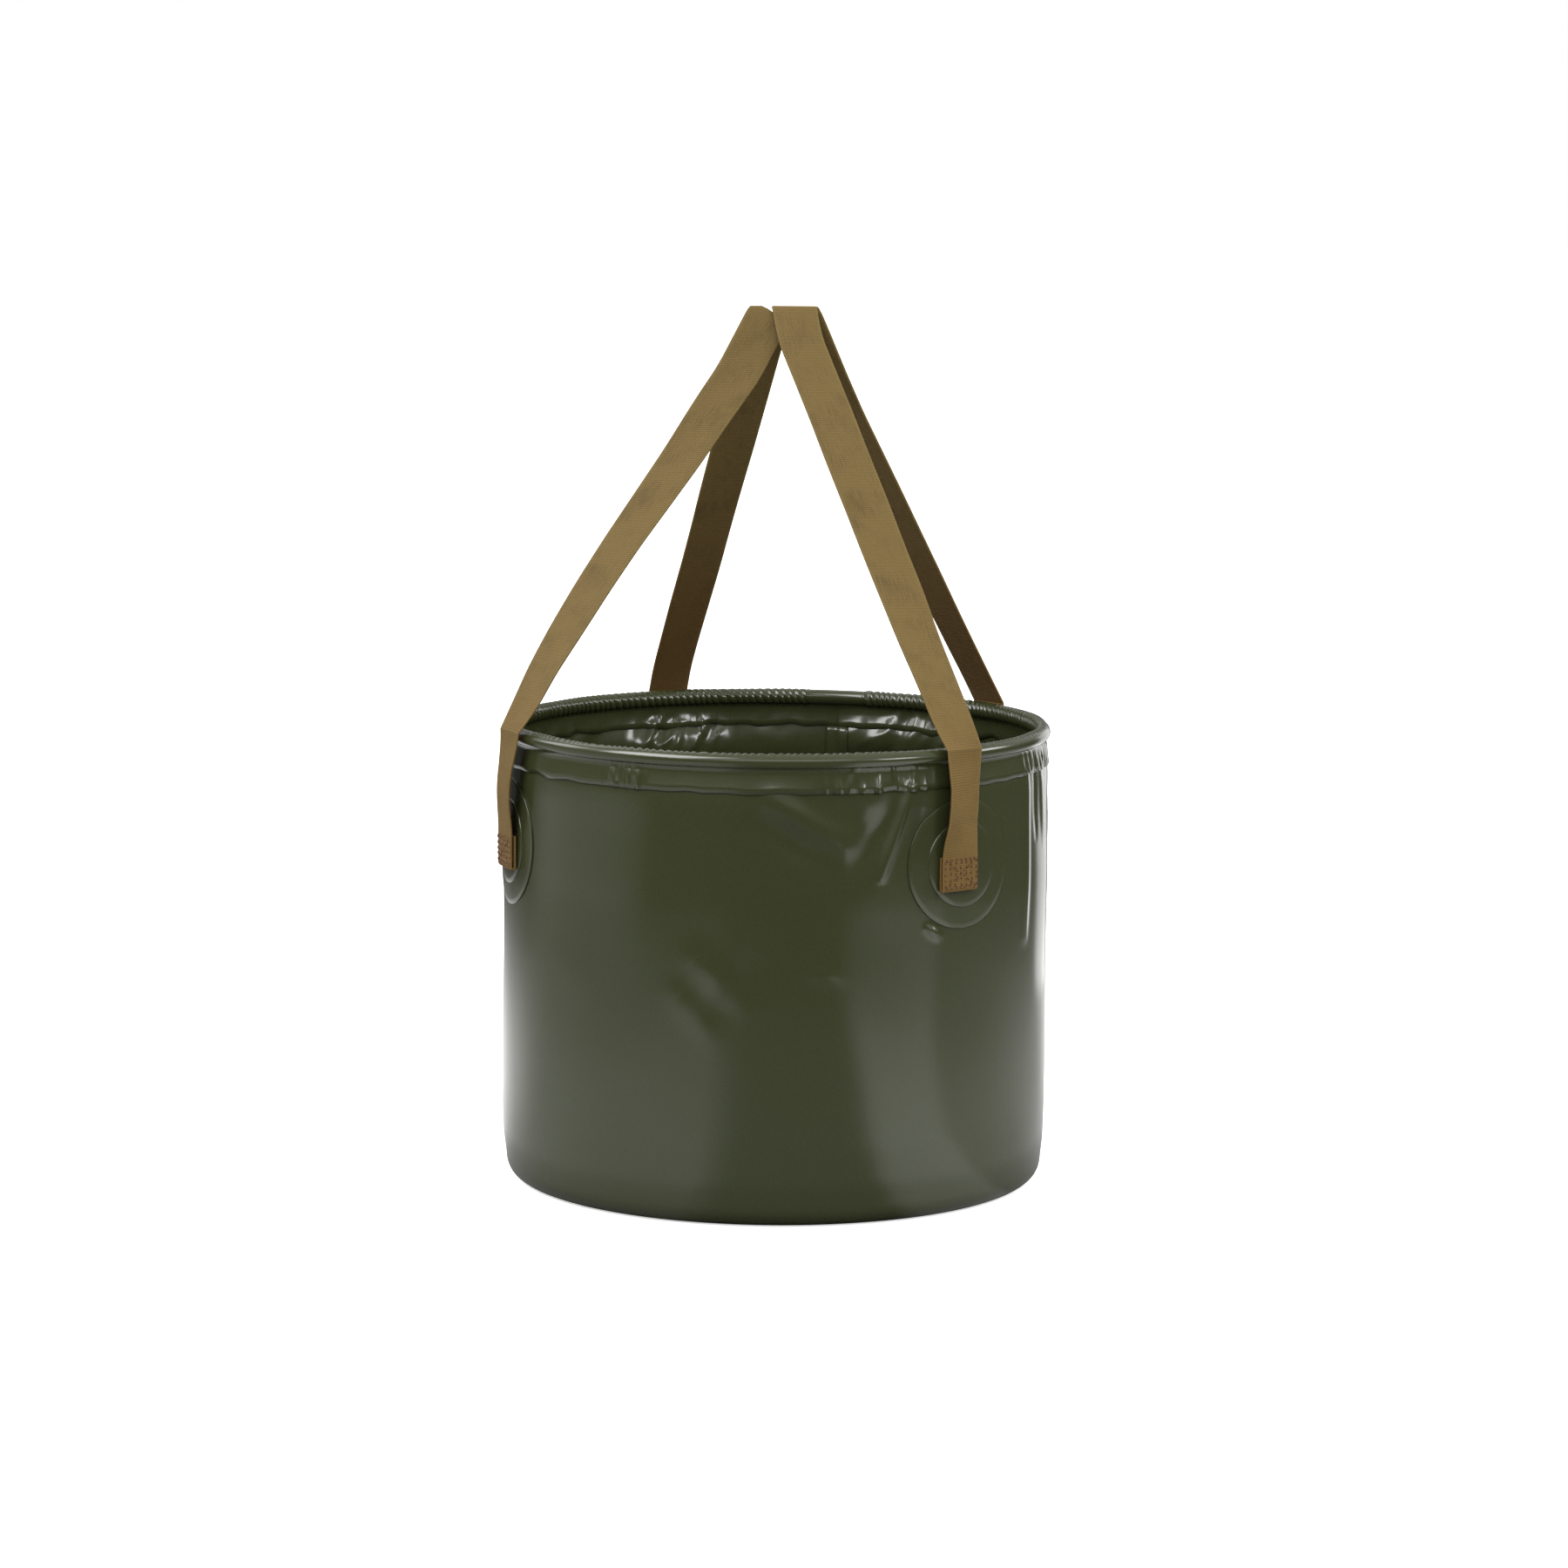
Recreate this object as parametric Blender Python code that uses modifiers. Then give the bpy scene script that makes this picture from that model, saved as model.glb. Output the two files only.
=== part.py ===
"""Folding camping water bucket of coated tarpaulin, with a hooped rim and two webbing handles.

Metres, +Z up. The origin is the middle of the underside, and -Y is the front. The wall, the hem and
the rim are turned about Z. The handles are a mirrored pair, one on each side of the YZ plane.
"""
import math

import bmesh
import bpy
from mathutils import Vector

# Cloth and its fits
CLOTH = 0.0008              # coated tarpaulin, one layer
FIT = 0.0003                # gap left between two pieces that touch

# Body
RIM_HEIGHT = 0.262          # top of the rolled rim
WALL_RADIUS = 0.1541        # middle of the wall's cloth just below the hem
WALL_TAPER = 0.0012         # how far the wall comes in from there to the bottom corner
CORNER_RADIUS = 0.012       # soft bottom corner
TURN_IN = 0.010             # flat edge of the wall, turned in under the base
BASE_SLOPE = 0.0025         # width of the step where the base drops from that edge to the floor
SEAM_WIDTH = 0.014          # tape over the wall's closing seam
SEAM_START = 0.008          # from the top of the bottom corner up to the tape

# Rim
HOOP_WIRE = 0.0042          # diameter of the springy hoop
HOOP_GAP = 0.001            # between the hoop's two ends
END_SHARE = 0.1             # shortest end piece of a bent wire or tube, as a share of one turned side
FERRULE_WALL = 0.0006
FERRULE_LENGTH = 0.030
HEM_DEPTH = 0.0131          # hem below the roll
NECK_DRAW = 0.0018          # how far the wall draws in from its full radius to the roll's middle
NECK_LENGTH = 0.0087        # height over which it draws in
WALL_TUCK = 0.0009          # from the wall's top edge up to the roll's throat

# Anchors of the handles, as angles from the front, the same on both sides
FRONT_ANGLE = math.radians(54.3)
REAR_ANGLE = math.radians(141.0)
PATCH_DIAMETER = 0.072
PATCH_DROP = 0.0063         # from the hem down to the patch
PAD_DIAMETER = 0.048

# Webbing
WEBBING = 0.0015            # thickness
WEBBING_WIDTH = 0.025
FOLD_LENGTH = 0.0195        # the folded and sewn end
FOLD_DROP = 0.0147          # from the patch's middle down to the fold
FOLD_GAP = 0.0006           # between the two layers of the fold
STRAP_CLEAR = 0.0038        # between the rolled rim and the strap that passes it
HINGE_RISE = 0.016          # from the rim's top up to the line that a handle swings about
HINGE_LEAN = 0.0016         # how far the strap leans in between the rim and that line
HINGE_GAP = 0.0016          # between strap and handle there, because the handle's end leans over
LOOP_HEIGHT = 0.497         # top of the handles, held up
LOOP_PART = 0.0006          # gap between the tops of the two handles
LOOP_BEND = 0.005           # length of each leg taken up by the bend at the top
LOOP_TWIST = 0.160          # length of leg over which the webbing turns to face the front

# Stitching
THREAD = 0.0008             # diameter
STITCH_MARGIN = 0.0025      # from the edges of the sewn end
STITCH_STROKES = 8          # passes of the thread up or down the sewn end

# Counts
STEPS = 72                  # sides of a turned piece
CORNER_STEPS = 4
ROLL_STEPS = 10
NECK_STEPS = 3
DISC_STEPS = 20
DISC_RINGS = 3
LEG_STEPS = 10
WELD = 0.00001              # points nearer than this are joined
SHARP_ANGLE = math.radians(35)

BASE_RADIUS = WALL_RADIUS - WALL_TAPER
ROLL_INNER = HOOP_WIRE / 2 + FIT + FERRULE_WALL + FIT
ROLL_OUTER = ROLL_INNER + CLOTH
ROLL_RADIUS = WALL_RADIUS - NECK_DRAW
ROLL_HEIGHT = RIM_HEIGHT - ROLL_OUTER
SKIRT_NEAR = CLOTH / 2 + FIT
SKIRT_FAR = SKIRT_NEAR + CLOTH
THROAT = ROLL_HEIGHT - math.sqrt(ROLL_INNER ** 2 - SKIRT_NEAR ** 2)
WALL_TOP = THROAT - WALL_TUCK
NECK_START = WALL_TOP - NECK_LENGTH
HEM_BOTTOM = RIM_HEIGHT - 2 * ROLL_OUTER - HEM_DEPTH
CORNER_TOP = CORNER_RADIUS + CLOTH / 2
PATCH_HEIGHT = HEM_BOTTOM - PATCH_DROP - PATCH_DIAMETER / 2
PATCH_OUT = CLOTH / 2 + FIT
PAD_OUT = PATCH_OUT + CLOTH + FIT
TAB_INNER = PAD_OUT + CLOTH + FIT + WEBBING / 2
TAB_OUTER = TAB_INNER + WEBBING + FOLD_GAP
TAB_BOTTOM = PATCH_HEIGHT - FOLD_DROP
TAB_TOP = TAB_BOTTOM + FOLD_LENGTH
CREASE_RADIUS = ROLL_RADIUS + ROLL_OUTER + STRAP_CLEAR + WEBBING / 2
HINGE_HEIGHT = RIM_HEIGHT + HINGE_RISE
HINGE_RADIUS = CREASE_RADIUS - HINGE_LEAN

COLLECTION = bpy.data.collections.new("water_bucket")


def clear_scene():
    for old in list(bpy.data.objects):
        bpy.data.objects.remove(old, do_unlink=True)
    bpy.context.scene.collection.children.link(COLLECTION)


def material(name, colour, roughness, metallic=0.0):
    made = bpy.data.materials.new(name)
    made.use_nodes = True
    shader = made.node_tree.nodes["Principled BSDF"]
    shader.inputs["Base Color"].default_value = (*colour, 1.0)
    shader.inputs["Roughness"].default_value = roughness
    shader.inputs["Metallic"].default_value = metallic
    return made


def add_object(name, data, finish):
    made = bpy.data.objects.new(name, data)
    data.materials.append(finish)
    COLLECTION.objects.link(made)
    return made


def wall_middle(height):
    """Radius of the middle of the wall's cloth at a height above the bottom corner."""
    if height <= NECK_START:
        share = (height - CORNER_TOP) / (NECK_START - CORNER_TOP)
        return BASE_RADIUS + WALL_TAPER * share
    share = min((height - NECK_START) / NECK_LENGTH, 1.0)
    return WALL_RADIUS - NECK_DRAW * (1 - math.cos(math.pi * share)) / 2


def neck_heights(top):
    """Heights from the hem's lower edge up the neck to a top height."""
    bends = [NECK_START + NECK_LENGTH * step / NECK_STEPS for step in range(NECK_STEPS)]
    return [HEM_BOTTOM] + [height for height in bends if HEM_BOTTOM < height < top] + [top]


def arc(centre, radius, first, last, steps):
    """Points of an arc in the (radius, height) plane, both ends included."""
    turns = [first + (last - first) * step / steps for step in range(steps + 1)]
    return [(centre[0] + radius * math.cos(turn), centre[1] + radius * math.sin(turn)) for turn in turns]


def turned(name, profile, finish, closed=False, thickness=None):
    """Turn a profile of (radius, height) points about Z; an open one gets a thickness."""
    mesh = bpy.data.meshes.new(name)
    edges = [(index, index + 1) for index in range(len(profile) - 1)]
    if closed:
        edges.append((len(profile) - 1, 0))
    mesh.from_pydata([(radius, 0, height) for radius, height in profile], edges, [])
    made = add_object(name, mesh, finish)
    screw = made.modifiers.new("Turn", "SCREW")
    screw.axis = "Z"
    screw.steps = STEPS
    screw.render_steps = STEPS
    screw.use_merge_vertices = True
    screw.merge_threshold = WELD
    weld = made.modifiers.new("Close", "WELD")
    weld.merge_threshold = WELD
    if thickness:
        shell = made.modifiers.new("Thickness", "SOLIDIFY")
        shell.thickness = thickness
        shell.offset = 0
        shell.use_even_offset = True
    return made


def on_wall(angle, across, height, out):
    """A point laid on the wall: across and up from an anchor, and out from the cloth's middle."""
    radius = wall_middle(height) + out
    turn = angle + across / radius
    return Vector((radius * math.sin(turn), -radius * math.cos(turn), height))


def wrapped_disc(name, diameter, angle, out, finish):
    """A round piece of cloth that follows the wall, its inner face at a distance from the wall's middle."""
    form = bmesh.new()
    radii = [diameter / 2 * ring / DISC_RINGS for ring in range(DISC_RINGS + 1)]
    profile = [(radius, CLOTH) for radius in radii] + [(radius, 0) for radius in reversed(radii)]
    verts = [form.verts.new((radius, 0, lift)) for radius, lift in profile]
    edges = [form.edges.new(pair) for pair in zip(verts, verts[1:])]
    bmesh.ops.spin(form, geom=verts + edges, cent=(0, 0, 0), axis=(0, 0, 1), angle=2 * math.pi,
                   steps=DISC_STEPS, use_merge=True)
    bmesh.ops.remove_doubles(form, verts=form.verts, dist=WELD)
    bmesh.ops.recalc_face_normals(form, faces=form.faces)
    for vert in form.verts:
        vert.co = on_wall(angle, vert.co.x, PATCH_HEIGHT + vert.co.y, out + vert.co.z)
    mesh = bpy.data.meshes.new(name)
    form.to_mesh(mesh)
    form.free()
    return add_object(name, mesh, finish)


def ribbon(name, rows, thickness, finish, origin=Vector()):
    """A band through rows of points, given in order along it, with a thickness about its middle."""
    columns = len(rows[0])
    form = bmesh.new()
    bmesh.ops.create_grid(form, x_segments=len(rows) - 1, y_segments=columns - 1, size=1)
    for vert in form.verts:
        row = round((vert.co.x + 1) / 2 * (len(rows) - 1))
        column = round((vert.co.y + 1) / 2 * (columns - 1))
        vert.co = rows[row][column] - origin
    mesh = bpy.data.meshes.new(name)
    form.to_mesh(mesh)
    form.free()
    made = add_object(name, mesh, finish)
    made.location = origin
    shell = made.modifiers.new("Thickness", "SOLIDIFY")
    shell.thickness = thickness
    shell.offset = 0
    shell.use_even_offset = True
    return made


def tube(name, points, diameter, finish, capped=True, sides=8):
    """A round tube or wire along a list of points."""
    curve = bpy.data.curves.new(name, "CURVE")
    curve.dimensions = "3D"
    curve.bevel_depth = diameter / 2
    curve.bevel_resolution = sides // 2 - 2
    curve.use_fill_caps = capped
    spline = curve.splines.new("POLY")
    spline.points.add(len(points) - 1)
    for place, point in zip(spline.points, points):
        place.co = (*point, 1)
    return add_object(name, curve, finish)


def ring_path(first, last):
    """Points of the roll's middle line between two turns from +X, on the flats of the turned pieces."""
    step = 2 * math.pi / STEPS
    corners = [step * index for index in range(math.ceil(first / step), math.floor(last / step) + 1)]
    least = step * END_SHARE
    turns = [first] + [turn for turn in corners if first + least < turn < last - least] + [last]
    points = []
    for turn in turns:
        radius = ROLL_RADIUS * math.cos(step / 2) / math.cos(turn % step - step / 2)
        points.append((radius * math.cos(turn), radius * math.sin(turn), ROLL_HEIGHT))
    return points


def wall(finish):
    corner = arc((BASE_RADIUS - CORNER_RADIUS, CORNER_TOP), CORNER_RADIUS, 0, -math.pi / 2, CORNER_STEPS)
    edge = (BASE_RADIUS - CORNER_RADIUS - TURN_IN, CLOTH / 2)
    neck = [(wall_middle(height), height) for height in reversed(neck_heights(WALL_TOP))]
    turned("wall", neck + corner + [edge], finish, thickness=CLOTH)


def base_panel(finish):
    outer = BASE_RADIUS - CORNER_RADIUS
    step_outer = outer - TURN_IN - FIT
    raised = CLOTH + FIT + CLOTH / 2
    profile = [(outer, raised), (step_outer, raised), (step_outer - BASE_SLOPE, CLOTH / 2), (0, CLOTH / 2)]
    turned("base_panel", profile, finish, thickness=CLOTH)


def side_seam_tape(finish):
    start = CORNER_TOP + SEAM_START
    heights = [start, HEM_BOTTOM - FIT]
    sides = (-SEAM_WIDTH / 2, 0, SEAM_WIDTH / 2)
    rows = [[on_wall(math.pi, across, height, -CLOTH - FIT) for across in sides] for height in heights]
    ribbon("side_seam_tape", rows, CLOTH, finish)


def rim_sleeve(finish):
    """Keyhole section: a tube round the hoop, with a skirt on each face of the wall."""
    centre = (ROLL_RADIUS, ROLL_HEIGHT)
    outer_turn = math.asin(SKIRT_FAR / ROLL_OUTER)
    inner_turn = math.asin(SKIRT_NEAR / ROLL_INNER)
    down = math.pi / 2
    outer_arc = arc(centre, ROLL_OUTER, 1.5 * math.pi - outer_turn, outer_turn - down, ROLL_STEPS)
    inner_arc = arc(centre, ROLL_INNER, inner_turn - down, 1.5 * math.pi - inner_turn, ROLL_STEPS)
    rising = [(wall_middle(height), height) for height in neck_heights(WALL_TOP)]
    falling = list(reversed(rising))
    profile = outer_arc
    profile += [(radius + SKIRT_FAR, height) for radius, height in falling]
    profile += [(radius + SKIRT_NEAR, height) for radius, height in rising]
    profile += inner_arc
    profile += [(radius - SKIRT_NEAR, height) for radius, height in falling]
    profile += [(radius - SKIRT_FAR, height) for radius, height in rising]
    turned("rim_sleeve", profile, finish, closed=True)


def rim_hoop(finish):
    rear = math.pi / 2
    half_gap = HOOP_GAP / 2 / ROLL_RADIUS
    tube("rim_hoop", ring_path(rear + half_gap, rear + 2 * math.pi - half_gap), HOOP_WIRE, finish)


def hoop_ferrule(finish):
    rear = math.pi / 2
    half = FERRULE_LENGTH / 2 / ROLL_RADIUS
    bore = HOOP_WIRE + 2 * FIT
    path = ring_path(rear - half, rear + half)
    made = tube("hoop_ferrule", path, bore + 2 * FERRULE_WALL, finish, capped=False)
    shell = made.modifiers.new("Thickness", "SOLIDIFY")
    shell.thickness = FERRULE_WALL
    shell.offset = -1
    shell.use_even_offset = True


def strap_profile():
    """(distance out from the wall's middle, height) along a strap end, from the fold's inner layer up."""
    fold_radius = (TAB_OUTER - TAB_INNER) / 2
    fold_centre = ((TAB_OUTER + TAB_INNER) / 2, TAB_BOTTOM + WEBBING / 2 + fold_radius)
    profile = [(TAB_INNER, TAB_TOP)]
    profile += arc(fold_centre, fold_radius, math.pi, 2 * math.pi, CORNER_STEPS)
    profile.append((TAB_OUTER, TAB_TOP))
    tab_radius = wall_middle(TAB_TOP) + TAB_OUTER
    for step in range(1, NECK_STEPS + 1):
        share = step / NECK_STEPS
        height = TAB_TOP + (RIM_HEIGHT - TAB_TOP) * share
        radius = tab_radius + (CREASE_RADIUS - tab_radius) * (1 - math.cos(math.pi * share)) / 2
        profile.append((radius - wall_middle(height), height))
    top = HINGE_HEIGHT - HINGE_GAP / 2
    profile.append((HINGE_RADIUS - wall_middle(top), top))
    return profile


def strap_end(name, angle, finish):
    columns = [WEBBING_WIDTH * share for share in (-0.5, -0.25, 0, 0.25, 0.5)]
    rows = [[on_wall(angle, across, height, out) for across in columns] for out, height in strap_profile()]
    ribbon(name, rows, WEBBING, finish)


def strap_stitching(name, angle, finish):
    """One thread that runs up and down the sewn end."""
    out = TAB_OUTER + WEBBING / 2 + FIT + THREAD / 2
    low = TAB_BOTTOM + STITCH_MARGIN
    high = TAB_TOP - STITCH_MARGIN
    reach = WEBBING_WIDTH / 2 - STITCH_MARGIN
    points = []
    for stroke in range(STITCH_STROKES):
        across = -reach + 2 * reach * stroke / (STITCH_STROKES - 1)
        ends = (low, high) if stroke % 2 == 0 else (high, low)
        points += [on_wall(angle, across, height, out) for height in ends]
    tube(name, points, THREAD, finish, sides=6)


def hinge_point(angle, height):
    return Vector((HINGE_RADIUS * math.sin(angle), -HINGE_RADIUS * math.cos(angle), height))


def loop_row(centre, direction, turn):
    """A level row across the webbing, long enough that the band keeps its width square to its run."""
    across = Vector((math.cos(turn), math.sin(turn), 0))
    slant = across.dot(direction.normalized())
    half = WEBBING_WIDTH / 2 / math.sqrt(1 - slant ** 2)
    return [centre - across * half, centre, centre + across * half]


def loop_leg(foot, top, turn):
    """Rows of one leg from its foot to the start of the bend, turning to face the front on the way."""
    run = top - foot
    reach = run.length - LOOP_BEND
    rows = []
    for step in range(LEG_STEPS + 1):
        along = reach * step / LEG_STEPS
        left = max(1 - along / LOOP_TWIST, 0)
        rows.append(loop_row(foot + run.normalized() * along, run, turn * left))
    return rows


def handle(name, side, finish):
    """One webbing loop, from the front hinge point over the top and down to the rear one."""
    front = hinge_point(FRONT_ANGLE, HINGE_HEIGHT + HINGE_GAP / 2)
    rear = hinge_point(REAR_ANGLE, HINGE_HEIGHT + HINGE_GAP / 2)
    meeting = Vector((0, 0, LOOP_HEIGHT - WEBBING / 2))
    slant = (meeting - front).normalized()
    bend_drop = LOOP_BEND * (slant.z + (meeting - rear).normalized().z) / 4
    half_top = WEBBING_WIDTH / 2 / math.sqrt(1 - slant.x ** 2)
    top = meeting + Vector((half_top + LOOP_PART / 2, 0, bend_drop))
    front_leg = loop_leg(front, top, FRONT_ANGLE)
    rear_leg = loop_leg(rear, top, REAR_ANGLE - math.pi)
    bend = []
    for share in (0.25, 0.5, 0.75):
        near, far = front_leg[-1][1], rear_leg[-1][1]
        centre = near * (1 - share) ** 2 + top * 2 * share * (1 - share) + far * share ** 2
        bend.append([centre - Vector((half_top, 0, 0)), centre, centre + Vector((half_top, 0, 0))])
    rows = front_leg + bend + list(reversed(rear_leg))
    flip = Vector((side, 1, 1))
    rows = [[point * flip for point in row] for row in rows]
    middle = (front + rear) / 2 * flip
    ribbon(name, rows, WEBBING, finish, origin=middle)


def shade():
    """Smooth shading, with the real edges kept sharp."""
    for made in COLLECTION.objects:
        if made.type == "MESH":
            made.data.shade_smooth()
            made.data.set_sharp_from_angle(angle=SHARP_ANGLE)


def build():
    clear_scene()
    tarpaulin = material("olive_tarpaulin", (0.071, 0.083, 0.040), 0.28)
    webbing = material("tan_webbing", (0.226, 0.168, 0.070), 0.85)
    thread = material("rust_thread", (0.210, 0.125, 0.045), 0.80)
    spring = material("hoop_steel", (0.55, 0.55, 0.56), 0.35, metallic=1.0)
    wall(tarpaulin)
    base_panel(tarpaulin)
    side_seam_tape(tarpaulin)
    rim_sleeve(tarpaulin)
    rim_hoop(spring)
    hoop_ferrule(spring)
    anchors = {"front": FRONT_ANGLE, "rear": REAR_ANGLE}
    for side_name, side in (("right", 1), ("left", -1)):
        for end_name, angle in anchors.items():
            place = f"{end_name}_{side_name}"
            wrapped_disc(f"anchor_patch_{place}", PATCH_DIAMETER, side * angle, PATCH_OUT, tarpaulin)
            wrapped_disc(f"anchor_pad_{place}", PAD_DIAMETER, side * angle, PAD_OUT, tarpaulin)
            strap_end(f"strap_end_{place}", side * angle, webbing)
            strap_stitching(f"strap_stitching_{place}", side * angle, thread)
        handle(f"handle_{side_name}", side, webbing)
    shade()


build()
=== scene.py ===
"""Looks of a folding water bucket: welded tarpaulin, a hooped rolled rim and two webbing loops."""
import math
import random

import bmesh
import bpy
from mathutils import Matrix, Vector, noise


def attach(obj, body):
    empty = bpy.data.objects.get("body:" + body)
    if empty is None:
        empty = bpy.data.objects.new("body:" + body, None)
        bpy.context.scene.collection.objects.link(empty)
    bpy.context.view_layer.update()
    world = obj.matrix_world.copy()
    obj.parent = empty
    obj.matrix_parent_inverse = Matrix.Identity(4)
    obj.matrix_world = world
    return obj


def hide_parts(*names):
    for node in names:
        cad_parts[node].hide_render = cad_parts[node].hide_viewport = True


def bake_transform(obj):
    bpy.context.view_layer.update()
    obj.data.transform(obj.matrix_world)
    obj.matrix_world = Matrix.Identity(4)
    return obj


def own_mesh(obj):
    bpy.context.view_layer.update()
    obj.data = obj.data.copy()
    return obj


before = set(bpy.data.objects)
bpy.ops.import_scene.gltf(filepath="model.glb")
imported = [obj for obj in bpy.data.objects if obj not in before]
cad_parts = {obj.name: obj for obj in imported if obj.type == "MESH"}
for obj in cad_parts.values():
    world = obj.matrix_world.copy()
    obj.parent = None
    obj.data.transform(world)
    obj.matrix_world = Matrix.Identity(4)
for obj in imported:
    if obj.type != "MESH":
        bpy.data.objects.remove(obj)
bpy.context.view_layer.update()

# Rim hoop and ferrule: a springy wire ring whose two ends meet in a short crimped tube at the rear.
# Both are drawn steel with fine lengthwise draw marks, and sit sealed inside the rolled rim.


def linear(code):
    """The linear colour of an sRGB hex code."""
    parts = [int(code[place:place + 2], 16) / 255 for place in (1, 3, 5)]
    return (*(part / 12.92 if part <= 0.04045 else ((part + 0.055) / 1.055) ** 2.4 for part in parts), 1)


def add_node(tree, kind, sockets=None, **settings):
    """Adds a node: settings are its own properties, sockets its inputs, each a value or an output."""
    made = tree.nodes.new("ShaderNode" + kind)
    for name, value in settings.items():
        setattr(made, name, value)
    for name, value in (sockets or {}).items():
        if isinstance(value, bpy.types.NodeSocket):
            tree.links.new(value, made.inputs[name])
        else:
            made.inputs[name].default_value = value
    return made


def new_material(name):
    """A material with only its surface shader, and that shader."""
    made = bpy.data.materials.new(name)
    made.use_nodes = True
    return made, made.node_tree, made.node_tree.nodes["Principled BSDF"]


DRAW_MARK = 0.0002          # width of a draw mark on the wire
drawn_steel, steel_tree, steel = new_material("drawn_spring_steel")
steel_place = add_node(steel_tree, "TexCoord")
draw_marks = add_node(steel_tree, "TexNoise", {"Vector": steel_place.outputs["Object"], "Scale": 1 / DRAW_MARK,
                                               "Detail": 2.0})
steel_shine = add_node(steel_tree, "MapRange", {"Value": draw_marks.outputs["Fac"], "To Min": 0.28,
                                                "To Max": 0.45})
steel_relief = add_node(steel_tree, "Bump", {"Height": draw_marks.outputs["Fac"], "Strength": 0.1,
                                             "Distance": 0.00002})
steel.inputs["Base Color"].default_value = linear("#C4C4C6")
steel.inputs["Metallic"].default_value = 1.0
steel_tree.links.new(steel_shine.outputs["Result"], steel.inputs["Roughness"])
steel_tree.links.new(steel_relief.outputs["Normal"], steel.inputs["Normal"])
for name in ("rim_hoop", "hoop_ferrule"):
    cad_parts[name].data.materials.clear()
    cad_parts[name].data.materials.append(drawn_steel)

# Wall: one strip of PVC coated tarpaulin welded into a tube, its lower edge turned in round a soft corner.
# The coating is calendered smooth and glossy, and the stiff cloth keeps the soft dents and short creases
# of having been folded flat.
CLOTH = 0.0008              # its thickness
WALL_FOOT = 0.1534          # radius to the middle of the cloth above the bottom corner
WALL_HEAD = 0.1541          # and just below the hem
CORNER = 0.010              # radius of the bottom corner
TURN_IN = 0.013             # edge turned in under the base
NECK_START = 0.2407         # where the wall starts to draw in towards the roll
WALL_TOP = 0.2538           # its upper edge, inside the roll
NECK_DRAW = 0.0018          # how far it draws in, except at the rear
HEM_BOTTOM = 0.2407         # lower edge of the hem under the roll
WALL_STEPS = 288            # round the wall
WALL_ROWS = 80              # and up it
SEAM_GROOVE = 0.0006        # half width of the line where the strip's ends meet, at the rear
GRAIN = 0.0007              # grain of the calendered coating
# How far the cloth stands out: all over, at most in broad and in close dents, and as a soft belly
STAND, BROAD_DENT, CLOSE_DENT, BELLY = 0.0009, 0.0014, 0.0006, 0.0013

# Soft creases: degrees from the front and height at its start, the same at its end, half width, and how
# far it stands out
CREASES = (
    (41.8, 0.24, 35.8, 0.194, 0.0026, 0.0022), (38.4, 0.238, 31, 0.196, 0.007, -0.0022),
    (45.5, 0.232, 43.5, 0.212, 0.005, -0.0012), (13, 0.237, 27.5, 0.212, 0.007, 0.002),
    (11, 0.226, 24, 0.201, 0.0095, -0.0014), (26, 0.236, 33, 0.222, 0.008, -0.0012),
    (-1.5, 0.149, 8, 0.124, 0.008, 0.0012), (-5.5, 0.128, 1.5, 0.106, 0.008, 0.0009),
    (2, 0.118, 12, 0.152, 0.01, -0.0009), (46.5, 0.164, 49, 0.159, 0.0022, 0.0016),
    (22, 0.143, 26, 0.139, 0.004, 0.001), (78.2, 0.24, 77.4, 0.15, 0.004, 0.0016),
    (83, 0.24, 84, 0.205, 0.0028, -0.0008), (88, 0.238, 90, 0.2, 0.004, 0.0008),
    (-34, 0.15, -26, 0.12, 0.012, 0.0003), (-120, 0.23, -112, 0.19, 0.006, 0.0016),
    (-95, 0.12, -104, 0.095, 0.008, 0.0016), (165, 0.2, 172, 0.17, 0.006, 0.001),
    (200, 0.14, 192, 0.11, 0.008, -0.0011), (118, 0.11, 128, 0.085, 0.008, 0.0016),
    (112, 0.236, 106, 0.196, 0.005, 0.0014), (212.2, 0.252, 211, 0.236, 0.0016, -0.0012),
)
# Broad slumps of the upper wall at the rear, written the same way
SLUMPS = ((151, 0.234, 179, 0.234, 0.012, -0.0066), (209, 0.229, 232, 0.23, 0.013, -0.0066),
          (179, 0.23, 208, 0.229, 0.014, -0.0036), (236, 0.23, 262, 0.23, 0.012, -0.0026))
# Stretches of the upper wall that are crumpled up to the roll: from and to in degrees, depth
CRUMPLES = ((149, 178, 0.0014), (205, 230, 0.0017), (186, 204, 0.0008), (231, 262, 0.0012))
# Areas with a finer mesh, for the sharp creases: from and to in degrees, from and to in height
FINE_AREAS = ((8, 50, 0.188, 0.247), (-8, 14, 0.1, 0.156), (43, 52, 0.15, 0.172), (74, 92, 0.14, 0.247),
              (148, 179, 0.206, 0.2538), (204, 231, 0.206, 0.2538))


def ease(share):
    """Takes a share from 0 to 1 with a soft start and end."""
    share = min(max(share, 0.0), 1.0)
    return share * share * (3 - 2 * share)


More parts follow.
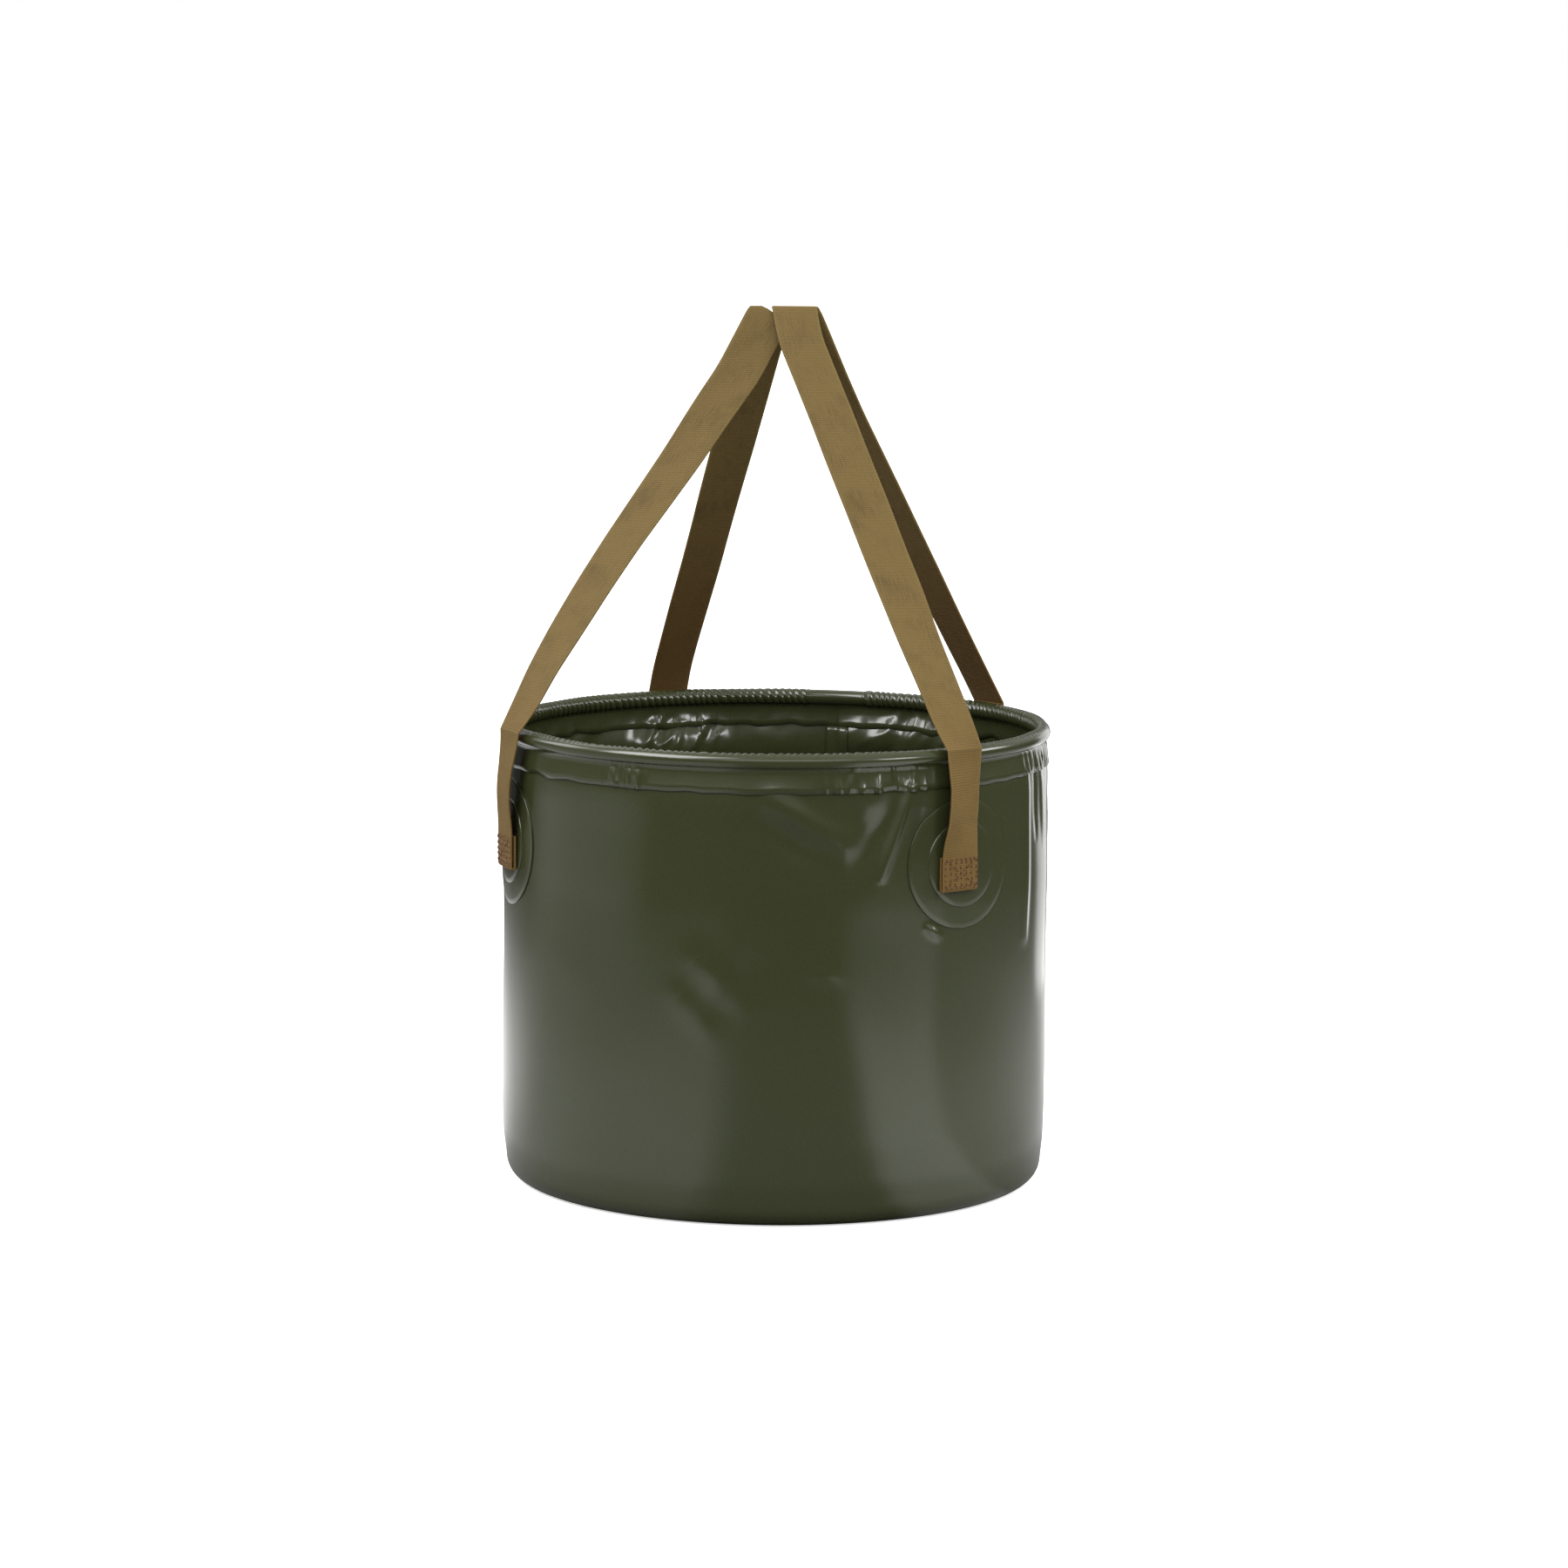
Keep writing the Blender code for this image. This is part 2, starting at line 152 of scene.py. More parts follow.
def wall_dents(turn, height):
    """How far the cloth stands out from a true tube at a turn from the front and a height."""
    fade = ease((height - 0.012) / 0.035) * ease((0.252 - height) / 0.022)
    broad = noise.noise(Vector((math.cos(turn) * 1.5, math.sin(turn) * 1.5, height * 7 + 3)))
    close = noise.noise(Vector((math.cos(turn) * 3.4 + 9, math.sin(turn) * 3.4, height * 15)))
    out = (STAND + BROAD_DENT * broad + CLOSE_DENT * close) * fade
    out += BELLY * ease((height - 0.006) / 0.02) * ease((0.222 - height) / 0.05)
    drawn = min(max((height - NECK_START) / (WALL_TOP - NECK_START), 0.0), 1.0)
    out += NECK_DRAW * drawn * ease(0.3 - math.cos(turn)) * ease((WALL_TOP - height) / 0.004)
    for turn_a, height_a, turn_b, height_b, width, lift in CREASES + SLUMPS:
        across = (turn - math.radians(turn_a) + math.pi) % (2 * math.pi) - math.pi
        if abs(across) < 0.5:
            place = Vector((across * WALL_HEAD, height - height_a))
            run = Vector((math.radians(turn_b - turn_a) * WALL_HEAD, height_b - height_a))
            along = min(max(place.dot(run) / run.length_squared, 0.0), 1.0)
            away = (place - run * along).length / width
            if away < 3:
                under_roll = ease((0.2465 - height) / 0.005) if height_a > 0.2365 else 1.0
                out += lift * under_roll * math.exp(-away * away) * math.sin(math.pi * (0.2 + 0.68 * along))
    crumpled = ease((height - 0.208) / 0.022) * ease((0.2535 - height) / 0.005)
    for start, end, depth in CRUMPLES:
        within = ((math.degrees(turn) - start) % 360) / (end - start)
        if within < 1 and crumpled > 0:
            folds = noise.noise(Vector((turn * 5, height * 60 + turn * 9, start)))
            folds += 0.35 * noise.noise(Vector((turn * 14 + height * 40, height * 110, start + 3)))
            out += depth * (abs(folds) * 2 - 0.8) * crumpled * math.sin(math.pi * within)
    return out


def wall_radius(turn, height):
    """Radius of the middle of the cloth above the bottom corner."""
    if height <= NECK_START:
        share = (height - CORNER) / (NECK_START - CORNER)
        plain = WALL_FOOT + (WALL_HEAD - WALL_FOOT) * share
    else:
        plain = WALL_HEAD - NECK_DRAW * (height - NECK_START) / (WALL_TOP - NECK_START)
    return plain + wall_dents(turn, height)


def turn_of(point):
    """Turn of a point from the front, towards the right."""
    return math.atan2(point.x, -point.y)


def at_turn(turn, radius, height):
    """The point at a turn from the front, a radius and a height."""
    return Vector((radius * math.sin(turn), -radius * math.cos(turn), height))


def spin_round(form, steps, sectors=12):
    """Turns a profile once round Z into a closed shell that faces outwards: one sector, then the rest."""
    sector = 2 * math.pi / sectors
    bmesh.ops.spin(form, geom=form.verts[:] + form.edges[:], cent=(0, 0, 0), axis=(0, 0, 1), angle=sector,
                   steps=steps // sectors)
    bmesh.ops.spin(form, geom=form.verts[:] + form.edges[:] + form.faces[:], cent=(0, 0, 0), axis=(0, 0, 1),
                   angle=2 * math.pi - sector, steps=sectors - 1, use_duplicate=True)
    bmesh.ops.remove_doubles(form, verts=form.verts, dist=0.000002)
    bmesh.ops.recalc_face_normals(form, faces=form.faces)


def lay_cloth_map(form, radius):
    """A map in metres for pieces turned round Z: along the strip, and up it or out from the axis."""
    layer = form.loops.layers.uv.new("cloth")
    for face in form.faces:
        middle = turn_of(face.calc_center_median())
        for loop in face.loops:
            point = loop.vert.co
            turn = turn_of(point)
            turn += round((middle - turn) / (2 * math.pi)) * 2 * math.pi
            loop[layer].uv = (turn * radius, point.z - math.hypot(point.x, point.y))


def keep_piece(name, form, finish, smooth=True):
    """Turns a finished bmesh into an object at the origin."""
    mesh = bpy.data.meshes.new(name)
    form.to_mesh(mesh)
    form.free()
    for polygon in mesh.polygons:
        polygon.use_smooth = smooth
    mesh.materials.append(finish)
    made = bpy.data.objects.new(name, mesh)
    bpy.context.scene.collection.objects.link(made)
    return made


def give_thickness(piece):
    """Gives a sheet the cloth's thickness, half of it to each side."""
    shell = piece.modifiers.new("Thickness", "SOLIDIFY")
    shell.thickness = CLOTH
    shell.offset = 0.0
    shell.use_even_offset = True


def crumple(piece):
    """Gives the piece its own copy of its mesh."""
    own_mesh(piece)


def in_fine_area(line):
    """Whether an edge of the wall lies where the mesh is to be finer."""
    middle = (line.verts[0].co + line.verts[1].co) / 2
    return any(low < middle.z < high and (math.degrees(turn_of(middle)) - start) % 360 < end - start
               for start, end, low, high in FINE_AREAS)


tarpaulin, tarp_tree, tarp = new_material("pvc_coated_tarpaulin")
tarp_place = add_node(tarp_tree, "TexCoord")
grain = add_node(tarp_tree, "TexNoise", {"Vector": tarp_place.outputs["Object"], "Scale": 1 / GRAIN,
                                         "Detail": 2.0, "Roughness": 0.6})
tarp_colour = add_node(tarp_tree, "Mix", {0: grain.outputs["Fac"], 6: linear("#30341D"), 7: linear("#3C4028")},
                       data_type="RGBA")
tarp_shine = add_node(tarp_tree, "MapRange", {"Value": grain.outputs["Fac"], "To Min": 0.16, "To Max": 0.20})
grain_relief = add_node(tarp_tree, "Bump", {"Height": grain.outputs["Fac"], "Strength": 0.03,
                                            "Distance": 0.00004})
tarp.inputs["IOR"].default_value = 1.52
tarp_tree.links.new(tarp_colour.outputs[2], tarp.inputs["Base Color"])
tarp_tree.links.new(tarp_shine.outputs["Result"], tarp.inputs["Roughness"])
tarp_tree.links.new(grain_relief.outputs["Normal"], tarp.inputs["Normal"])

form = bmesh.new()
edge = form.verts.new((0, -(WALL_FOOT - CORNER - TURN_IN), CLOTH / 2))
corner = form.verts.new((0, -WALL_FOOT, CLOTH / 2))
top = form.verts.new((0, -WALL_HEAD, WALL_TOP))
form.edges.new((edge, corner))
form.edges.new((corner, top))
bmesh.ops.bevel(form, geom=[corner], offset=CORNER, offset_type="OFFSET", segments=10, profile=0.5,
                affect="VERTICES", material=-1)
tall = max(form.edges, key=lambda line: line.calc_length())
bmesh.ops.subdivide_edges(form, edges=[tall], cuts=WALL_ROWS)
spin_round(form, WALL_STEPS)
for reach in (-2.5, -1, 1, 2.5):
    bmesh.ops.bisect_plane(form, geom=form.verts[:] + form.edges[:] + form.faces[:], dist=0.000001,
                           plane_co=(reach * SEAM_GROOVE, 0, 0), plane_no=(1, 0, 0))
bmesh.ops.subdivide_edges(form, edges=[line for line in form.edges if in_fine_area(line)], cuts=2,
                          use_grid_fill=True)
lay_cloth_map(form, WALL_HEAD)
for vert in form.verts:
    if vert.co.z > CORNER:
        turn = turn_of(vert.co)
        radius = wall_radius(turn, vert.co.z)
        if vert.co.y > 0 and abs(vert.co.x) < SEAM_GROOVE * 1.1:       # on the two lines of the groove
            radius -= CLOTH / 2
        vert.co = at_turn(turn, radius, vert.co.z)
wall_cloth = keep_piece("wall_cloth", form, tarpaulin)
give_thickness(wall_cloth)
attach(wall_cloth, "base")
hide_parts("wall")
crumple(wall_cloth)

# Side seam tape: a strip of the same tarpaulin welded over the closing seam, inside at the rear. The
# weld's pressure leaves its edges thin and a flat band along the middle.
TAPE_WIDTH = 0.014
TAPE_FOOT, TAPE_HEAD = 0.0204, 0.2404
TAPE_PRESS = 0.00025        # how far its edges are pressed to the wall
TAPE_GAP = 0.0003           # weld between it and the wall
form = bmesh.new()
bmesh.ops.create_grid(form, x_segments=8, y_segments=90, size=1)
layer = form.loops.layers.uv.new("cloth")
for vert in form.verts:
    across = vert.co.x * TAPE_WIDTH / 2
    height = TAPE_FOOT + (TAPE_HEAD - TAPE_FOOT) * (vert.co.y + 1) / 2
    pressed = TAPE_PRESS * ease((abs(vert.co.x) - 0.7) / 0.3)
    vert.co = Vector((across, height, pressed))
    for loop in vert.link_loops:
        loop[layer].uv = (across, height)
for vert in form.verts:
    across, height, pressed = vert.co
    turn = math.pi + across / WALL_HEAD
    vert.co = at_turn(turn, wall_radius(turn, height) - CLOTH - TAPE_GAP + pressed, height)
bmesh.ops.recalc_face_normals(form, faces=form.faces)
seam_tape = keep_piece("seam_tape_cloth", form, tarpaulin)
give_thickness(seam_tape)
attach(seam_tape, "base")
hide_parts("side_seam_tape")
crumple(seam_tape)

# Base: a disc of the same tarpaulin welded on top of the wall's turned-in edge. The weld is a pressed
# ring, and inside it the disc drops to the ground and is a little uneven.
BASE_EDGE = 0.1409          # radius of the disc
STEP_OUT = BASE_EDGE - 0.0103              # outside this it lies on the wall's edge
STEP_IN = STEP_OUT - 0.0025                # and inside this on the ground
RAISED = CLOTH * 1.5 + 0.0003              # middle of its cloth on the wall's edge
PRESSED = RAISED - 0.0002                  # and in the weld's ring
UNEVEN = 0.0011             # how far the disc may rise off the ground
form = bmesh.new()
levels = ((0, CLOTH / 2), (STEP_IN, CLOTH / 2), (STEP_OUT, RAISED), (BASE_EDGE - 0.0065, RAISED),
          (BASE_EDGE - 0.006, PRESSED), (BASE_EDGE - 0.002, PRESSED), (BASE_EDGE, RAISED))
spots = [form.verts.new((0, -radius, height)) for radius, height in levels]
lines = [form.edges.new(pair) for pair in zip(spots, spots[1:])]
bmesh.ops.subdivide_edges(form, edges=[lines[0]], cuts=24)
spin_round(form, 180)
lay_cloth_map(form, WALL_HEAD)
for vert in form.verts:
    out = math.hypot(vert.co.x, vert.co.y)
    if out < STEP_IN - 0.002:
        rise = 0.5 + noise.noise(Vector((vert.co.x * 22, vert.co.y * 22, 5)))
        vert.co.z += UNEVEN * max(rise, 0) * ease((STEP_IN - out) / 0.02)
base_cloth = keep_piece("base_cloth", form, tarpaulin)
give_thickness(base_cloth)
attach(base_cloth, "base")
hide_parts("base_panel")

# Rim sleeve: a strip of the tarpaulin wrapped round the hoop and welded to both faces of the wall. Its
# outer side is pulled smooth. The inner side has less way to go round, so it gathers in fine slanting
# pleats like a rope, except where the strip's ends overlap at the rear.
ROLL_RADIUS = 0.1523        # circle of the roll's middle
ROLL_HEIGHT = 0.2579
ROLL_CLOTH = 0.0037         # from the roll's middle to the middle of its cloth
SKIRT_OUT = 0.0009          # from the middle of the wall's cloth to the middle of the hem's
SLEEVE_STEPS = 1728         # round the rim, eight to a pleat
PLEATS = 216                # 4.4 mm apart
PLEAT_DEPTH = 0.0019
PLEAT_LEAN = 3.0            # pleats that one leans over in a full turn round the roll
LAP = (173.5, 187.0)        # where the strip's ends overlap, in degrees from the front
LAP_RISE = 0.0004           # how far the upper end stands out there
HEM_SLACK = 0.0012          # how far the inner hem may hang off the wall
OUTER_WAVE, INNER_WAVE = 0.0010, 0.0028    # how uneven the lower edges of the two hems are
# Stretches where the hem ripples: from and to in degrees, how far it stands out
HEM_RIPPLES = ((21, 51, 0.0011), (-25, -12, 0.0013), (73, 98, 0.0009), (150, 168, 0.0006), (205, 224, 0.0006),
               (-104, -90, 0.0005), (126, 134, 0.0005))
form = bmesh.new()
throat = math.asin(SKIRT_OUT / ROLL_CLOTH)
throat_height = ROLL_HEIGHT - ROLL_CLOTH * math.cos(throat)
skirt = [HEM_BOTTOM + (throat_height - HEM_BOTTOM) * step / 4 for step in range(4)]
plain = [wall_radius(0, height) - wall_dents(0, height) for height in skirt]
profile = [(radius - SKIRT_OUT, height) for radius, height in zip(plain, skirt)]
first, last = 1.5 * math.pi - throat, throat - math.pi / 2
for step in range(19):
    around = first + (last - first) * step / 18
    profile.append((ROLL_RADIUS + ROLL_CLOTH * math.cos(around), ROLL_HEIGHT + ROLL_CLOTH * math.sin(around)))
profile += [(radius + SKIRT_OUT, height) for radius, height in reversed(list(zip(plain, skirt)))]
spots = [form.verts.new((0, -radius, height)) for radius, height in profile]
for pair in zip(spots, spots[1:]):
    form.edges.new(pair)
spin_round(form, SLEEVE_STEPS, 36)
lay_cloth_map(form, WALL_HEAD)
for vert in form.verts:
    turn = turn_of(vert.co)
    degrees = math.degrees(turn) % 360
    radius = math.hypot(vert.co.x, vert.co.y)
    height = vert.co.z
    lapped = ease((degrees - LAP[0]) / 0.5) * ease((LAP[1] - degrees) / 0.5)
    if height > throat_height - 0.0001:
        around = math.atan2(height - ROLL_HEIGHT, radius - ROLL_RADIUS) % (2 * math.pi)
        begin = 1.05 + 0.25 * math.cos(turn)
        inner = ease((around - begin) / 0.5) * ease((4.5 - around) / 0.4)
        wander = 0.9 * noise.noise(Vector((math.cos(turn) * 9, math.sin(turn) * 9, 0)))
        phase = (turn / (2 * math.pi) * PLEATS + around / (2 * math.pi) * PLEAT_LEAN + wander) % 1
        strand = math.sqrt(max(1 - (2 * phase - 1) ** 2, 0)) - 0.45
        amount = 0.85 + 0.5 * noise.noise(Vector((math.cos(turn) * 5, math.sin(turn) * 5, 4)))
        out = PLEAT_DEPTH * strand * inner * amount * (1 - lapped) + LAP_RISE * lapped
        radius += out * math.cos(around)
        height += out * math.sin(around)
    else:
        outside = radius > wall_radius(0, height) - wall_dents(0, height)
        radius += wall_dents(turn, height)
        out = 0
        for start, end, lift in HEM_RIPPLES:
            within = ((degrees - start) % 360) / (end - start)
            if within < 1:
                ripple = noise.noise(Vector((degrees * 0.5, height * 90, start)))
                ripple += 0.5 * noise.noise(Vector((degrees * 1.1, height * 160, start + 5)))
                out += lift * 2 * ripple * math.sin(math.pi * within) * ease((throat_height - height) / 0.003)
        hang = (throat_height - height) / (throat_height - HEM_BOTTOM)
        if outside:
            radius += max(out, -0.0001)
        else:
            radius -= (abs(out) * 0.4 + HEM_SLACK * abs(noise.noise(Vector((degrees * 0.22, 3, 3))))) * hang
        wave = OUTER_WAVE if outside else INNER_WAVE
        height += wave * hang * noise.noise(Vector((degrees * 0.17, 7, 2)))
    vert.co = at_turn(turn, radius, height)
sleeve_cloth = keep_piece("rim_sleeve_cloth", form, tarpaulin)
give_thickness(sleeve_cloth)
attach(sleeve_cloth, "rim")
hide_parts("rim_sleeve")

# Anchor patches and pads: discs of tarpaulin welded to the outside of the wall, one on the other, to
# spread each handle's pull. Their rounded edges catch the light as fine rings.
FRONT_TURN = math.radians(54.3)
REAR_TURN = math.radians(141.0)
PATCH_HEIGHT = 0.1984       # middle of the patch
PATCH_RADIUS = 0.036
PAD_RADIUS = 0.024
PATCH_SWELL = 0.0012        # how far a disc swells in its middle
# Laid by hand, each patch is some degrees off its anchor's line
OFF_LINE = {"front_right": 0.6, "rear_right": -0.5, "front_left": -5.0, "rear_left": 0.4}
anchors = {"front_right": FRONT_TURN, "rear_right": REAR_TURN,
           "front_left": -FRONT_TURN, "rear_left": -REAR_TURN}


def welded_disc(name, radius, edge, turn, out, seed):
    """A disc with a rounded edge, laid on the wall."""
    rings = ((0, CLOTH), (radius - 0.0030, CLOTH), (radius - edge, CLOTH),
             (radius - edge * 0.3, CLOTH - edge * 0.3), (radius, CLOTH - edge), (radius, 0), (0, 0))
    form = bmesh.new()
    spots = [form.verts.new((0, -reach, lift)) for reach, lift in rings]
    lines = [form.edges.new(pair) for pair in zip(spots, spots[1:])]
    bmesh.ops.subdivide_edges(form, edges=[lines[0], lines[-1]], cuts=8)
    spin_round(form, 96)
    layer = form.loops.layers.uv.new("cloth")
    for vert in form.verts:
        for loop in vert.link_loops:
            loop[layer].uv = vert.co.xy
    for vert in form.verts:
        across, up, lift = vert.co
        uneven = 1 + noise.noise(Vector((across * 50, up * 50, seed)))
        swell = PATCH_SWELL * (1 - math.hypot(across, up) / radius) * uneven
        height = PATCH_HEIGHT + up
        place = turn + across / WALL_HEAD
        vert.co = at_turn(place, wall_radius(place, height) + out + lift + (swell if lift > 0 else 0), height)
    piece = keep_piece(name, form, tarpaulin)
    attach(piece, "base")
    return piece


for seed, (place, turn) in enumerate(anchors.items()):
    turn += math.radians(OFF_LINE[place])
    patch = welded_disc("patch_" + place, PATCH_RADIUS, CLOTH * 0.3, turn, CLOTH / 2, seed)
    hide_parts("anchor_patch_" + place)
    crumple(patch)
    pad = welded_disc("pad_" + place, PAD_RADIUS, CLOTH * 0.8, turn, CLOTH * 1.5 + 0.0002, seed + 10)
    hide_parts("anchor_pad_" + place)
    crumple(pad)

# Sewn ends: each end of a handle is folded under and sewn to its pad, and stands off the wall on its
# way up past the rim. The webbing is woven polyester, 25 by 1.5 mm, ribbed across, with firm selvedges.
WEBBING = 0.0015
WEBBING_HALF = 0.0125
RIB_PITCH = 0.0014          # between the ribs across the webbing
WARP_PITCH = 0.0009         # between the threads along it
RIM_HEIGHT = 0.262          # where the webbing passes the rim, and its two pieces meet
CREASE_RADIUS = 0.161       # middle of the webbing there
FOLD_FOOT = 0.1837          # lowest point of the fold
TAB_TOP = 0.2032            # top of the folded, sewn length
TAB_INNER, TAB_OUTER = 0.0037, 0.0059      # middles of its two layers, out from the wall's cloth

webbing, web_tree, web = new_material("woven_polyester_webbing")
web_place = add_node(web_tree, "UVMap", uv_map="weave")
web_side = add_node(web_tree, "Attribute", attribute_name="brown_face_and_shade")
web_split = add_node(web_tree, "SeparateXYZ", {"Vector": web_place.outputs["UV"]})
ribs = add_node(web_tree, "TexWave", {"Vector": web_place.outputs["UV"], "Scale": math.pi / 10 / RIB_PITCH,
                                      "Distortion": 1.2, "Detail": 1.0, "Detail Scale": 0.6},
                bands_direction="Y")
warps = add_node(web_tree, "TexWave", {"Vector": web_place.outputs["UV"], "Scale": math.pi / 10 / WARP_PITCH,
                                       "Distortion": 0.8, "Detail": 1.0, "Detail Scale": 0.6},
                 bands_direction="X")
weave = add_node(web_tree, "Math", {0: ribs.outputs["Fac"], 1: warps.outputs["Fac"]}, operation="MULTIPLY")
# Uneven dye: streaks 0.45 mm wide and 11 mm long, and blotches 18 mm across
streak_place = add_node(web_tree, "Mapping", {"Vector": web_place.outputs["UV"], "Scale": (2200, 90, 1)})
streaks = add_node(web_tree, "TexNoise", {"Vector": streak_place.outputs["Vector"], "Scale": 1.0,
                                          "Detail": 3.0})
blotches = add_node(web_tree, "TexNoise", {"Vector": web_place.outputs["UV"], "Scale": 55.0, "Detail": 3.0})
thread_shade = add_node(web_tree, "Math", {0: streaks.outputs["Fac"], 1: blotches.outputs["Fac"]},
                        operation="ADD")
web_colour = add_node(web_tree, "ValToRGB", {"Fac": thread_shade.outputs["Value"]})
web_colour.color_ramp.elements[0].position = 0.6
web_colour.color_ramp.elements[0].color = linear("#5B4B2A")
web_colour.color_ramp.elements[1].position = 1.0
web_colour.color_ramp.elements[1].color = linear("#735F36")
# Paler edges: partly the firm selvedges' own tone, partly a painted highlight along the rounded edges
web_edge = add_node(web_tree, "Math", {0: web_split.outputs["X"]}, operation="ABSOLUTE")
selvedge_and_highlight = add_node(web_tree, "MapRange", {"Value": web_edge.outputs["Value"],
                                           "From Min": WEBBING_HALF - 0.0016,
                                           "From Max": WEBBING_HALF - 0.0006, "To Min": 0.0, "To Max": 0.35})
web_pale = add_node(web_tree, "Mix", {0: selvedge_and_highlight.outputs["Result"], 6: web_colour.outputs["Color"],
                                      7: linear("#857346")}, data_type="RGBA")
# The browner colour: partly the webbing's redder back face, partly painted shade, mixed in more towards the
# rims on the loops' inner faces and over the sewn ends
web_inner = add_node(web_tree, "Mix", {0: web_side.outputs["Fac"], 6: web_pale.outputs[2],
                                       7: linear("#70552C")}, data_type="RGBA")
# Painted shade in the weave: the colour is darker in the grooves between the ribs and the threads
weave_groove_shade = add_node(web_tree, "MapRange", {"Value": weave.outputs["Value"], "From Max": 0.6, "To Min": 0.72,
                                            "To Max": 1.05})
web_lit = add_node(web_tree, "Mix", {0: 1.0, 6: web_inner.outputs[2], 7: weave_groove_shade.outputs["Result"]},
                   data_type="RGBA", blend_type="MULTIPLY")
web_relief = add_node(web_tree, "Bump", {"Height": weave.outputs["Value"], "Strength": 0.6,
                                         "Distance": 0.00018})
web.inputs["Roughness"].default_value = 0.85
web.inputs["Specular IOR Level"].default_value = 0.2
web_tree.links.new(web_lit.outputs[2], web.inputs["Base Color"])
web_tree.links.new(web_relief.outputs["Normal"], web.inputs["Normal"])


def rounded_section():
    """Points round the webbing's flat section, from one edge: (across, out of its face)."""
    flat = WEBBING_HALF - WEBBING / 2
    face = [(-flat + 2 * flat * step / 8, WEBBING / 2) for step in range(9)]
    nose = [(flat + WEBBING / 2 * math.sin(math.radians(turn)), WEBBING / 2 * math.cos(math.radians(turn)))
            for turn in (45, 90, 135)]
    half = face + nose
    return half + [(-across, -out) for across, out in half]


SECTION = rounded_section()


def webbing_band(name, rows, finish, dark, settle=None, start_run=None, end_run=None):
    """Webbing through rows of (middle, across, sag): across runs along its width, a little longer than 1 where
    the row is cut at a slant, and sag is how far its edges hang from its middle. dark gives the share of the
    browner colour on its two faces at a share of its length: partly the webbing's redder back face, partly
    painted shade."""
    form = bmesh.new()
    bmesh.ops.create_grid(form, x_segments=len(rows) - 1, y_segments=len(SECTION), size=1)
    layer = form.loops.layers.uv.new("weave")
    inner = form.verts.layers.float.new("brown_face_and_shade")
    middles = [row[0] for row in rows]
    runs = [(middles[min(index + 1, len(rows) - 1)] - middles[max(index - 1, 0)]).normalized()
            for index in range(len(rows))]
    runs[0] = start_run or runs[0]
    runs[-1] = end_run or runs[-1]
    along = [0.0]
    for before, after in zip(middles, middles[1:]):
        along.append(along[-1] + (after - before).length)
    for vert in form.verts:
        index = round((vert.co.x + 1) / 2 * (len(rows) - 1))
        side = round((vert.co.y + 1) / 2 * len(SECTION))
        middle, across, sag = rows[index]
        span, out = SECTION[side % len(SECTION)]
        face = across.cross(runs[index]).normalized()
        place = middle + across * span + face * out + sag * (span / WEBBING_HALF) ** 2
        vert.co = settle(place, along[index], along[-1]) if settle else place
        vert[inner] = dark(along[index] / along[-1], out < 0)
        for loop in vert.link_loops:
            loop[layer].uv = (span, along[index])
    bmesh.ops.remove_doubles(form, verts=form.verts, dist=0.000001)
    ends = [line for line in form.edges if line.is_boundary]
    bmesh.ops.holes_fill(form, edges=ends)
    bmesh.ops.recalc_face_normals(form, faces=form.faces)
    piece = keep_piece(name, form, finish)
    piece.data.set_sharp_from_angle(angle=math.radians(60))
    return piece


def between(table, share):
    """A value read off a table of (share, value)."""
    for (low, first), (high, last) in zip(table, table[1:]):
        if share <= high:
            return first + (last - first) * (share - low) / (high - low)
    return table[-1][1]


# In degrees: turn of each sewn tab off its anchor's line, turn of the webbing at the rim off it, and how
# far the webbing's width turns out of the wall's line at the rim and below it
TABS = {"front_right": (-1.6, -0.5, 0.2, 12.0), "rear_right": (0.8, 1.8, 3.2, 2.0),
        "front_left": (-2.2, 0.0, 4.0, -2.0), "rear_left": (-0.8, -1.06, 0.06, 0.0)}


def sewn_rows(place):
    """Rows of a sewn end from the hidden layer's top, round the fold and up to the rim."""
    tab_shift, top_shift, top_lean, middle_lean = TABS[place]
    tab_turn = anchors[place] + math.radians(tab_shift)
    turn = anchors[place] + math.radians(top_shift)
    foot_radius = wall_radius(anchors[place], FOLD_FOOT)
    straight = TAB_TOP - FOLD_FOOT - 0.002
    path = [(foot_radius + TAB_INNER, TAB_TOP - straight * step / 8) for step in range(9)]
    fold = (TAB_OUTER - TAB_INNER) / 2
    for step in range(1, 8):
        around = math.pi + math.pi * step / 8
        path.append((foot_radius + TAB_INNER + fold + fold * math.cos(around),
                     FOLD_FOOT + WEBBING / 2 + fold + fold * math.sin(around)))
    path += [(foot_radius + TAB_OUTER, FOLD_FOOT + 0.002 + straight * step / 8) for step in range(9)]
    rise = RIM_HEIGHT - TAB_TOP
    for step in range(1, 31):
        share = step / 30
        out = foot_radius + TAB_OUTER + (CREASE_RADIUS - foot_radius - TAB_OUTER) * ease(share * 1.6)
        path.append((out + 0.0022 * math.sin(math.pi * share) ** 2, TAB_TOP + rise * share))
    lean = ((0, 0.0), (0.12, middle_lean * 0.3), (0.3, middle_lean), (0.65, middle_lean), (1, top_lean))
    rows = []
    for radius, height in path:
        share = max((height - TAB_TOP) / rise, 0.0)
        here = tab_turn + (turn - tab_turn) * ease(share)
        facing = here + math.radians(between(lean, share))
        if abs(here) > math.pi / 2:
            facing += math.pi
        across = Vector((math.cos(facing), math.sin(facing), 0))
        sag = at_turn(here, -WEBBING_HALF ** 2 / 2 / WALL_HEAD, 0) * (1 - ease(share * 3))
        rows.append((at_turn(here, radius, height), across, sag))
    return rows


def sewn_painted_shade(share, to_wall):
    """Painted shade on a sewn end: the face to the wall takes all of the browner colour, and the other one some
    of it, more where it is sewn down.
    """
    return 1.0 if to_wall else 0.3 + 0.25 * ease((0.44 - share) / 0.06)


